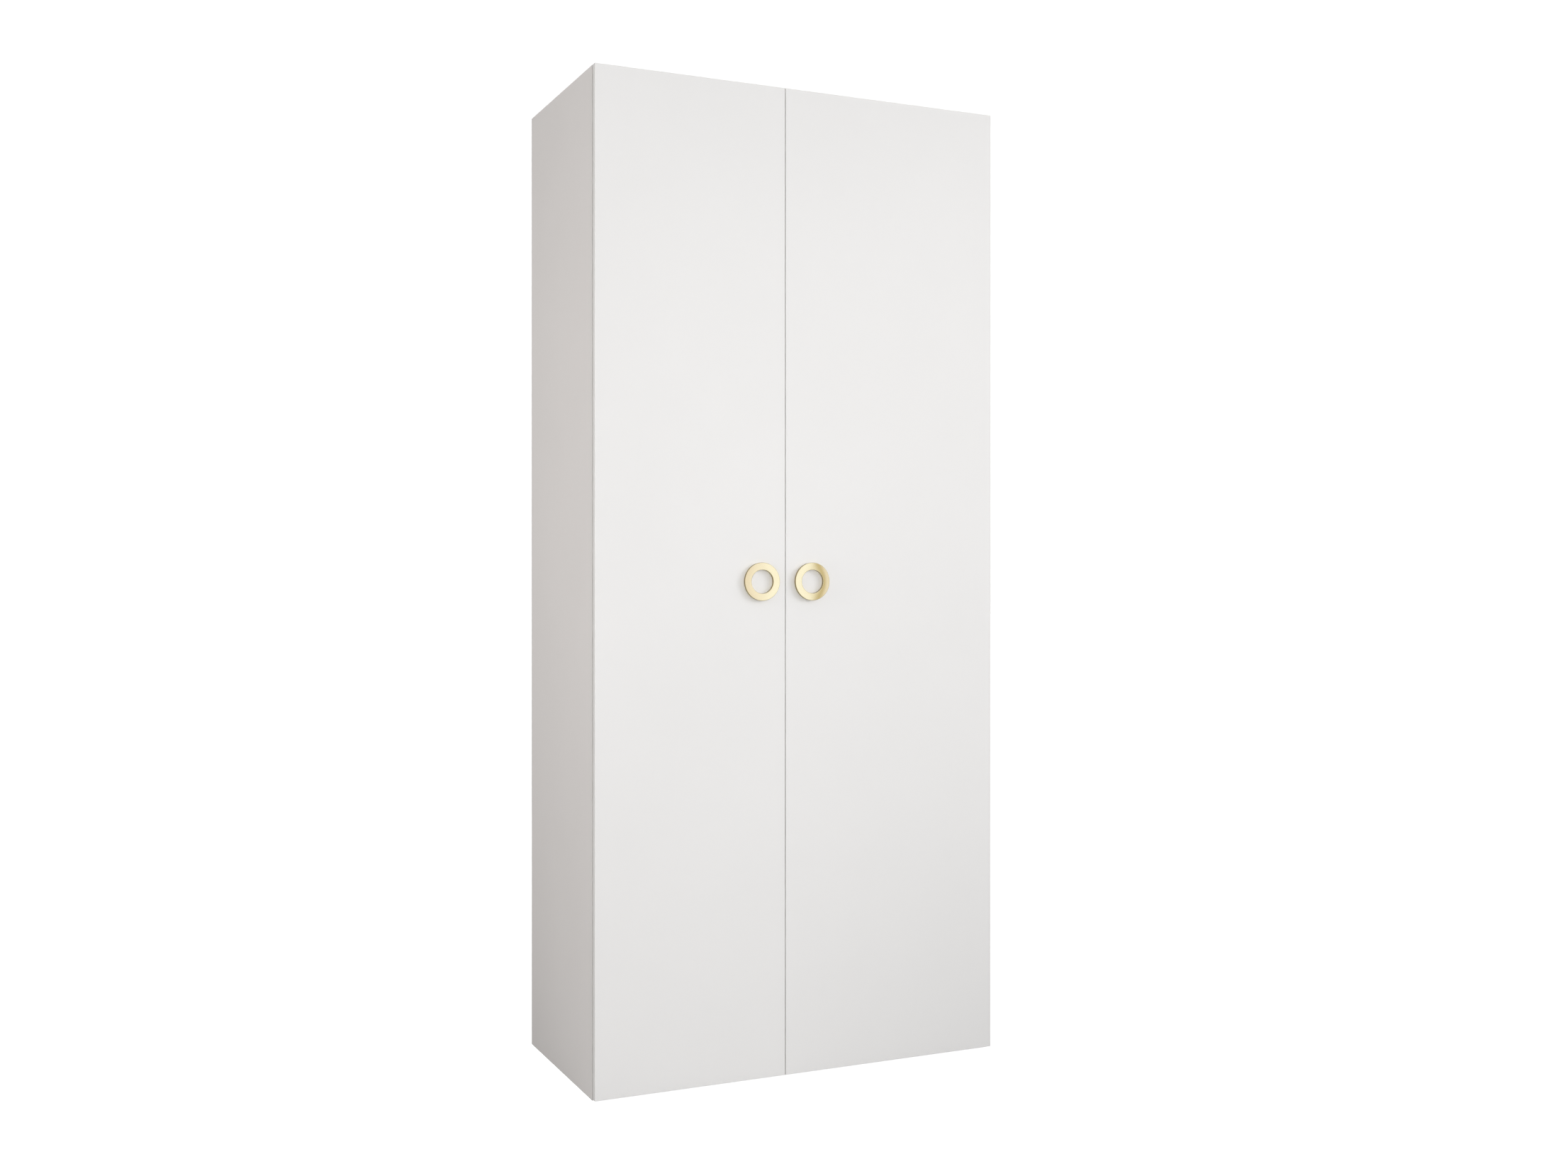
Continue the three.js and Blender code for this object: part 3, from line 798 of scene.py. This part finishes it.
def build_door(side):
    """The bored door board with its two bumpers."""
    node = f"{side}_door"
    inner_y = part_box(node)[1].y

    def bored_at(pieces):
        places = [middle_of(*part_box(piece)) for piece in pieces]
        return [(x, inner_y, z) for x, z in places]

    cup_places = bored_at(f"{side}_{level}_hinge_cup" for level in HINGE_LEVELS)
    screw_places = bored_at(f"{side}_handle_screw_{i}" for i in HANDLE_SCREWS)
    cups = rod_cutters(cup_places, (0, -1, 0), *CUP_BORE, segments=64)
    screws = rod_cutters(screw_places, (0, -1, 0), *SCREW_BORE, segments=24)
    board(node, ("-x", "+x", "-z", "+z"), door_outline(side), [cups, screws], DOOR_MATERIALS,
          node, "door_board", DOOR_ROUND)
    for end in ("bottom", "top"):
        bumper = f"{side}_bumper_{end}"
        lo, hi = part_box(bumper)
        x, z = middle_of(lo, hi)
        bm = bmesh.new()
        add_turned(bm, in_mm(BUMPER_PROFILE), (x, lo.y, z), (0, 1, 0), segments=32)
        settle(piece_from(bm, f"{bumper}_dome", [BUMPER_CLEAR]), node, "bumper", bumper)


# ---------------------------------------------------------------- concealed hinges
CUP_RIM_BELOW = 1.2 * MM  # from the top of the wings down to the door's inner face
PIN_SIZE = (1.0, 9.7)  # radius and half length in mm
WING_AIR = 0.3 * MM  # between the wings and the door
WING_ROOT = 17.0 * MM  # radius where a wing leaves the cup
WING_HALF = 9.5 * MM
WING_TIP = 26.0 * MM
WING_CORNER = 6.0 * MM
WING_SCREW_OFFSET = 21.0 * MM
WING_SCREW = (3.4 * MM, 0.6 * MM)
CUP_PROFILE = ((0, -12.3), (16.9, -12.3), (17.5, -11.7), (17.5, 0.45), (17.35, 0.6), (16.65, 0.6),
               (16.5, 0.45), (16.5, -11.2), (16.0, -11.7), (0, -11.7))


def build_cup(side, level):
    """A dished cup with the hinge's pin across it and two screwed wings."""
    node = f"{side}_{level}_hinge_cup"
    lo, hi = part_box(node)
    x, z = middle_of(lo, hi)
    face_y = hi.y - CUP_RIM_BELOW
    bm = bmesh.new()
    add_turned(bm, in_mm(CUP_PROFILE), (x, face_y, z), (0, 1, 0), segments=64)
    pivot = JOINTS[f"{side}_door_hinge"]["pos_m"]
    radius, half = PIN_SIZE
    pin = in_mm([(0, -half), (radius, -half), (radius, half), (0, half)])
    add_turned(bm, pin, (pivot[0], pivot[1], z), (0, 0, 1), segments=20)
    for end in (-1, 1):
        outline = wing_outline(x, end)
        add_slab(bm, [(px, face_y + WING_AIR, z + pz) for px, pz in outline],
                 [(px, hi.y, z + pz) for px, pz in outline])
        place = (x, hi.y, z + end * WING_SCREW_OFFSET)
        add_screw_head(bm, place, (0, 1, 0), *WING_SCREW, SECOND)
    settle(piece_from(bm, f"{node}_shell", [NICKEL, ZINC]), f"{side}_door", "hinge_nickel", node)


def wing_outline(x, end, steps=10):
    """One wing of the cup's flange: from the cup's wall out to a rounded tip; (x, up) points."""
    spread = math.asin(WING_HALF / WING_ROOT)
    points = []
    for i in range(steps + 1):
        a = -spread + 2 * spread * i / steps
        points.append((x + WING_ROOT * math.sin(a), WING_ROOT * math.cos(a)))
    across, up = WING_HALF - WING_CORNER, WING_TIP - WING_CORNER
    for centre_x, start in ((x + across, 0), (x - across, 90)):
        for i in range(steps + 1):
            a = math.radians(start + 90 * i / steps)
            points.append((centre_x + WING_CORNER * math.cos(a), up + WING_CORNER * math.sin(a)))
    return [(px, end * pz) for px, pz in points]


# Outline of the neck from above, in mm: from the side panel's inner face inwards, and back from
# the front edges of the carcass.
NECK = ((-8.5, -10.3), (2.4, -10.3), (3.2, -9.5), (3.2, -0.6), (7.0, 5.0), (7.0, 14.0),
        (11.0, 14.0), (11.0, 3.9), (5.2, -2.6), (5.2, -10.9), (3.8, -12.3), (-8.5, -12.3))
NECK_HALF = 3.5 * MM
NECK_ROUND = 0.35 * MM
EYE_BORE, EYE_RADIUS, EYE_ROUND = 1.35 * MM, 2.3 * MM, 0.2 * MM
ARM_FOOT, ARM_CROWN = 7.0, 12.5  # mm from the side panel's inner face
ARM_FRONT, ARM_REAR = 5.0, 62.0  # mm behind the carcass front edges
ARM_HALF = 7.0 * MM
ARM_WALL = 1.6  # mm
CROWN_ROUND = 0.6 * MM
FLANK_ROUND = 0.5 * MM
ARM_SCREW_HEIGHT = 0.8 * MM
ARM_SCREWS = ((22.0, 3.6 * MM), (40.0, 4.0 * MM), (54.0, 3.2 * MM))  # place and head radius


def by_side(side, into, back):
    """A place by its mm from the side panel's inner face and behind the carcass front."""
    return (SIDES[side] * (INNER_X - into * MM), FRONT_Y + back * MM)


def build_arm(side, level):
    """A bent steel neck from the eye on the pin, and a channel with its adjusting screws."""
    node = f"{side}_{level}_hinge_arm"
    _, z = middle_of(*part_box(node))
    pivot = JOINTS[f"{side}_door_hinge"]["pos_m"]
    bm = bmesh.new()
    neck = [by_side(side, *point) for point in NECK]
    add_prism(bm, neck, z - NECK_HALF, z + NECK_HALF, NECK_ROUND)
    eye = fillet_profile(EYE_BORE, EYE_RADIUS, -NECK_HALF, NECK_HALF, EYE_ROUND, steps=2)
    add_turned_ring(bm, eye, (pivot[0], pivot[1], z), (0, 0, 1), segments=32)

    foot_x, front = by_side(side, ARM_FOOT, ARM_FRONT)
    crown_x, rear = by_side(side, ARM_CROWN, ARM_REAR)
    under_x, _ = by_side(side, ARM_CROWN - ARM_WALL, ARM_FRONT)
    crown = sorted((under_x, crown_x))
    add_box(bm, (crown[0], front, z - ARM_HALF), (crown[1], rear, z + ARM_HALF), CROWN_ROUND, 3)
    flank = sorted((foot_x, crown_x))
    for end in (-1, 1):
        z_pair = sorted((z + end * ARM_HALF, z + end * (ARM_HALF - ARM_WALL * MM)))
        add_box(bm, (flank[0], front, z_pair[0]), (flank[1], rear, z_pair[1]), FLANK_ROUND)
    for back, radius in ARM_SCREWS:
        x, y = by_side(side, ARM_CROWN, back)
        add_screw_head(bm, (x, y, z), (-SIDES[side], 0, 0), radius, ARM_SCREW_HEIGHT, SECOND)
    settle(piece_from(bm, f"{node}_shape", [NICKEL, ZINC]), "carcass", "hinge_nickel", node)


PLATE_FOOT, PLATE_WINGS, PLATE_RIDGE = 0.3 * MM, 2.3 * MM, 6.7 * MM  # from the side panel
WINGS_FRONT, WINGS_REAR = FRONT_Y + 25 * MM, FRONT_Y + 57 * MM
RIDGE_HALF = 4.9 * MM
PLATE_ROUND = 0.8 * MM
PLATE_SCREW = (4.0 * MM, 1.0 * MM)
PLATE_SCREW_OFFSET = 16 * MM


def build_plate(side, level):
    """A cross-shaped plate: wings up and down, and a ridge along which the arm slides."""
    sign = SIDES[side]
    node = f"{side}_{level}_hinge_plate"
    lo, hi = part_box(node)
    _, z = middle_of(lo, hi)
    foot_x, wings_x, ridge_x = (sign * INNER_X - sign * reach
                                for reach in (PLATE_FOOT, PLATE_WINGS, PLATE_RIDGE))
    wings = sorted((foot_x, wings_x))
    ridge = sorted((foot_x, ridge_x))
    bm = bmesh.new()
    add_box(bm, (wings[0], WINGS_FRONT, lo.z), (wings[1], WINGS_REAR, hi.z), PLATE_ROUND, 3)
    add_box(bm, (ridge[0], lo.y, z - RIDGE_HALF), (ridge[1], hi.y, z + RIDGE_HALF),
            PLATE_ROUND, 3)
    for end in (-1, 1):
        place = (wings_x, PIN_ROWS[0], z + end * PLATE_SCREW_OFFSET)
        add_screw_head(bm, place, (-sign, 0, 0), *PLATE_SCREW)
    settle(piece_from(bm, f"{node}_shape", [ZINC]), "carcass", "zinc_steel", node)


# ---------------------------------------------------------------- wall angles and cover caps
ANGLE_THICKNESS = 2.0 * MM
ANGLE_BEND = 1.5 * MM
BEND_STEPS = 4
ANGLE_SCREW_FROM_EDGE = 12 * MM
ANGLE_SCREW_OFFSET = 7 * MM
ANGLE_TOP_SCREW = (3.6 * MM, 0.9 * MM)  # two into the top panel
ANGLE_WALL_SCREW = (4.4 * MM, 1.1 * MM)  # one into the wall


def build_wall_angles():
    """Bent strips under the top panel that hold the wardrobe to the wall."""
    for side in SIDES:
        node = f"{side}_wall_angle"
        lo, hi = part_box(node)
        inner_y, inner_z = hi.y - ANGLE_THICKNESS, hi.z - ANGLE_THICKNESS
        turns = [math.pi / 2 * i / BEND_STEPS for i in range(BEND_STEPS + 1)]
        outline = [(hi.y, lo.z), (hi.y, hi.z), (lo.y, hi.z), (lo.y, inner_z)]
        outline += [(inner_y - ANGLE_BEND + ANGLE_BEND * math.sin(a),
                     inner_z - ANGLE_BEND + ANGLE_BEND * math.cos(a)) for a in turns]
        outline.append((inner_y, lo.z))
        bm = bmesh.new()
        add_slab(bm, [(lo.x, y, z) for y, z in outline], [(hi.x, y, z) for y, z in outline])
        middle = (lo.x + hi.x) / 2
        for end in (-1, 1):
            place = (middle + end * ANGLE_SCREW_OFFSET, lo.y + ANGLE_SCREW_FROM_EDGE, inner_z)
            add_screw_head(bm, place, (0, 0, -1), *ANGLE_TOP_SCREW)
        place = (middle, inner_y, lo.z + ANGLE_SCREW_FROM_EDGE)
        add_screw_head(bm, place, (0, -1, 0), *ANGLE_WALL_SCREW)
        settle(piece_from(bm, f"{node}_shape", [ZINC]), "carcass", "zinc_steel", node)


CAP_PROFILE = ((0, 0), (8.5, 0), (8.2, 0.5), (0, 0.7))
CAP_FROM_END = 34 * MM
CAP_ROWS = (60 * MM, 230 * MM, 400 * MM)


def build_caps():
    """Covers over the cam fittings: on top of the top panel and under the bottom panel."""
    for node, up in (("top_panel", 1), ("bottom_panel", -1)):
        lo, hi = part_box(node)
        face_z = hi.z if up > 0 else lo.z
        bm = bmesh.new()
        for x in (lo.x + CAP_FROM_END, hi.x - CAP_FROM_END):
            for row in CAP_ROWS:
                place = (x, lo.y + row, face_z)
                add_turned(bm, in_mm(CAP_PROFILE), place, (0, 0, up), segments=32)
        settle(piece_from(bm, f"{node}_caps", [CAP_WHITE]), "carcass", "carcass_board")


build_carcass()
build_backs()
build_shelf_pins()
build_rail()
rings = []
for side in SIDES:
    build_door(side)
    rings.append(build_handle(side))
    build_handle_screws(side)
    for level in HINGE_LEVELS:
        build_cup(side, level)
        build_arm(side, level)
        build_plate(side, level)
build_wall_angles()
build_caps()


# ---------------------------------------------------------------- studio
DOME_RADIUS = 40.0
FLOOR_REACH = 39.0
SKY = 0.395
BELOW_HORIZON = 0.18
SKY_IN_METAL = 0.8  # the same surroundings as a polished surface mirrors them
BELOW_IN_METAL = 0.6
HORIZON = 0.05  # the change from below to above takes this much of a direction's Z, each way
SKY_TINT = (1.0, 0.995, 0.99, 1.0)
FLOOR_Z = -0.5 * MM
BOUNCE_FLOOR_Z = -5 * MM
BOUNCE_GREY = 0.32
# Painted shade on the bounce floor: darker behind the object and to its right, which dims the light
# it throws onto the object's lower back and right side.
BOUNCE_DARKEST = 0.15  # share of the grey that is left
DARKENS_BEHIND = (-0.3, 0.3)  # from and to, in Y
DARKENS_RIGHT = (-0.1, 0.6)  # likewise in X
CARD_X = (1.0, 3.2)  # what the rings mirror: a panel off to the right, behind the camera
CARD_Z = (0.3, 2.0)
CARD_Y = -4.8
CARD_TONES = (
    (1.81, (0.96, 0.92, 0.88)),
    (1.96, (1.12, 1.16, 1.16)),
    (2.19, (1.12, 1.16, 1.16)),
    (2.24, (0.50, 0.40, 0.12)),
    (2.25, (0.52, 0.42, 0.14)),
    (2.29, (0.94, 0.92, 0.88)),
)


def add_world():
    """Soft light from all round: brighter above than below."""
    world = bpy.data.worlds.new("studio")
    world.use_nodes = True
    bpy.context.scene.world = world
    nodes = Nodes(world.node_tree)
    direction = nodes.add("ShaderNodeTexCoord").outputs["Generated"]
    axes = nodes.add("ShaderNodeSeparateXYZ", {"Vector": direction})
    height = axes.outputs["Z"]
    lighting = world.node_tree.nodes["Background"]
    mirrored = nodes.add("ShaderNodeBackground")
    choice = nodes.add("ShaderNodeMixShader")
    link = world.node_tree.links.new
    for background, below, above in ((lighting, BELOW_HORIZON, SKY),
                                     (mirrored, BELOW_IN_METAL, SKY_IN_METAL)):
        background.inputs["Color"].default_value = SKY_TINT
        strength = nodes.remap(height, -HORIZON, HORIZON, below, above)
        link(strength, background.inputs["Strength"])
    link(nodes.add("ShaderNodeLightPath").outputs["Is Glossy Ray"], choice.inputs["Fac"])
    link(lighting.outputs["Background"], choice.inputs[1])
    link(mirrored.outputs["Background"], choice.inputs[2])
    link(choice.outputs["Shader"], world.node_tree.nodes["World Output"].inputs["Surface"])


def shaded_floor_material(name):
    """A grey floor with painted shade: darker behind the object and off to its right."""
    material, nodes, shader, place = new_material(name)
    axes = nodes.add("ShaderNodeSeparateXYZ", {"Vector": place})
    # painted shade: the grey fades towards the back and towards the right
    behind = nodes.remap(axes.outputs["Y"], *DARKENS_BEHIND, 1.0, BOUNCE_DARKEST)
    right = nodes.remap(axes.outputs["X"], *DARKENS_RIGHT, 1.0, BOUNCE_DARKEST)
    share = nodes.add("ShaderNodeMath", operation="MULTIPLY")
    nodes.tree.links.new(behind, share.inputs[0])
    nodes.tree.links.new(right, share.inputs[1])
    tone = nodes.mix(share.outputs["Value"], grey(0.0), grey(BOUNCE_GREY))
    wire(nodes, shader, Base_Color=tone)
    shader.inputs["Specular IOR Level"].default_value = 0.0
    return material


def stage_material(name, glow, albedo):
    """Plain white that glows by itself, with the given share of light thrown back."""
    material = bpy.data.materials.new(name)
    material.use_nodes = True
    shader = material.node_tree.nodes["Principled BSDF"]
    shader.inputs["Base Color"].default_value = grey(albedo)
    shader.inputs["Roughness"].default_value = 0.9
    shader.inputs["Specular IOR Level"].default_value = 0.0
    shader.inputs["Emission Color"].default_value = grey(1.0)
    shader.inputs["Emission Strength"].default_value = glow
    return material


def add_stage(name, bm, material, seen_by):
    """A stage piece that only one kind of ray meets: camera, diffuse or glossy."""
    mesh = bpy.data.meshes.new(name)
    bm.to_mesh(mesh)
    bm.free()
    mesh.materials.append(material)
    piece = bpy.data.objects.new(name, mesh)
    bpy.context.scene.collection.objects.link(piece)
    piece.visible_camera = seen_by == "camera"
    piece.visible_diffuse = seen_by == "diffuse"
    piece.visible_glossy = seen_by == "glossy"
    piece.visible_shadow = False
    return piece


def add_floors_and_backdrop():
    """The white floor the camera sees, and a greyer one that lights the object from below."""
    floors = (("floor", stage_material("floor_white", 1.0, 0.5), "camera", FLOOR_Z),
              ("bounce_floor", shaded_floor_material("floor_grey"), "diffuse", BOUNCE_FLOOR_Z))
    for name, material, seen_by, z in floors:
        bm = bmesh.new()
        bmesh.ops.create_grid(bm, x_segments=2, y_segments=2, size=FLOOR_REACH)
        add_stage(name, bm, material, seen_by).location.z = z
    bm = bmesh.new()
    bmesh.ops.create_icosphere(bm, subdivisions=4, radius=DOME_RADIUS)
    add_stage("backdrop", bm, stage_material("backdrop_white", 1.05, 0.0), "camera")


def add_reflection_card():
    """The light panel that shiny surfaces mirror, and nothing else sees."""
    material, nodes, shader, place = new_material("reflection_card")
    ramp = nodes.add("ShaderNodeValToRGB")
    low, high = CARD_TONES[0][0], CARD_TONES[-1][0]
    elements = ramp.color_ramp.elements
    while len(elements) < len(CARD_TONES):
        elements.new(0.5)
    for element, (x, tone) in zip(elements, CARD_TONES):
        element.position = (x - low) / (high - low)
        element.color = (*tone, 1.0)
    across = nodes.add("ShaderNodeSeparateXYZ", {"Vector": place}).outputs["X"]
    nodes.tree.links.new(nodes.remap(across, low, high, 0.0, 1.0), ramp.inputs["Fac"])
    nodes.tree.links.new(ramp.outputs["Color"], shader.inputs["Emission Color"])
    shader.inputs["Emission Strength"].default_value = 1.0
    shader.inputs["Base Color"].default_value = grey(0.0)
    shader.inputs["Specular IOR Level"].default_value = 0.0
    bm = bmesh.new()
    corners = [(x, CARD_Y, z) for x, z in ((CARD_X[0], CARD_Z[0]), (CARD_X[1], CARD_Z[0]),
                                           (CARD_X[1], CARD_Z[1]), (CARD_X[0], CARD_Z[1]))]
    bm.faces.new([bm.verts.new(corner) for corner in corners])
    add_stage("reflection_card", bm, material, "glossy")


def add_light(name, place, target, width, height, power, tint=(1.0, 1.0, 1.0)):
    """A soft panel that faces its target; neither the camera nor any mirror sees it."""
    data = bpy.data.lights.new(name, "AREA")
    data.color = tint
    data.shape = "RECTANGLE"
    data.size = width
    data.size_y = height
    data.energy = power
    light = bpy.data.objects.new(name, data)
    light.location = place
    light.rotation_euler = (Vector(target) - Vector(place)).to_track_quat("-Z", "Y").to_euler()
    light.visible_camera = False
    light.visible_glossy = False
    bpy.context.scene.collection.objects.link(light)
    return light


def let_through(light, pieces):
    """The light passes these pieces, so their shadow on the board behind stays soft and light."""
    blockers = bpy.data.collections.new(f"{light.name}_blockers")
    for piece in pieces:
        blockers.objects.link(piece)
    for entry in blockers.collection_objects:
        entry.light_linking.link_state = "EXCLUDE"
    light.light_linking.blocker_collection = blockers


add_world()
add_floors_and_backdrop()
add_reflection_card()
front = add_light("front", (-0.3, -4.6, 1.5), (0.0, -0.2, 1.3), 2.4, 2.0, 58.0)
let_through(front, rings)
add_light("right", (3.6, -4.2, 2.4), (0.1, -0.24, 1.2), 3.2, 2.4, 94.5)
add_light("middle", (-0.1, -2.8, 1.6), (0.0, -0.2, 1.5), 1.4, 1.2, 13.3)
add_light("side", (-2.8, -0.4, 1.5), (-0.5, 0.0, 1.35), 1.0, 1.6, 25.2, (1.0, 0.965, 0.94))
add_light("far_side", (3.4, 0.7, 1.7), (0.5, 0.1, 1.2), 1.6, 1.8, 60.0)
add_light("rear", (0.8, 3.8, 2.2), (0.0, 0.25, 1.2), 2.8, 2.2, 130.0)
add_light("above", (0.0, 0.9, 4.3), (0.0, 0.1, 2.2), 1.6, 1.0, 30.0)
bpy.context.scene.view_settings.view_transform = "Standard"
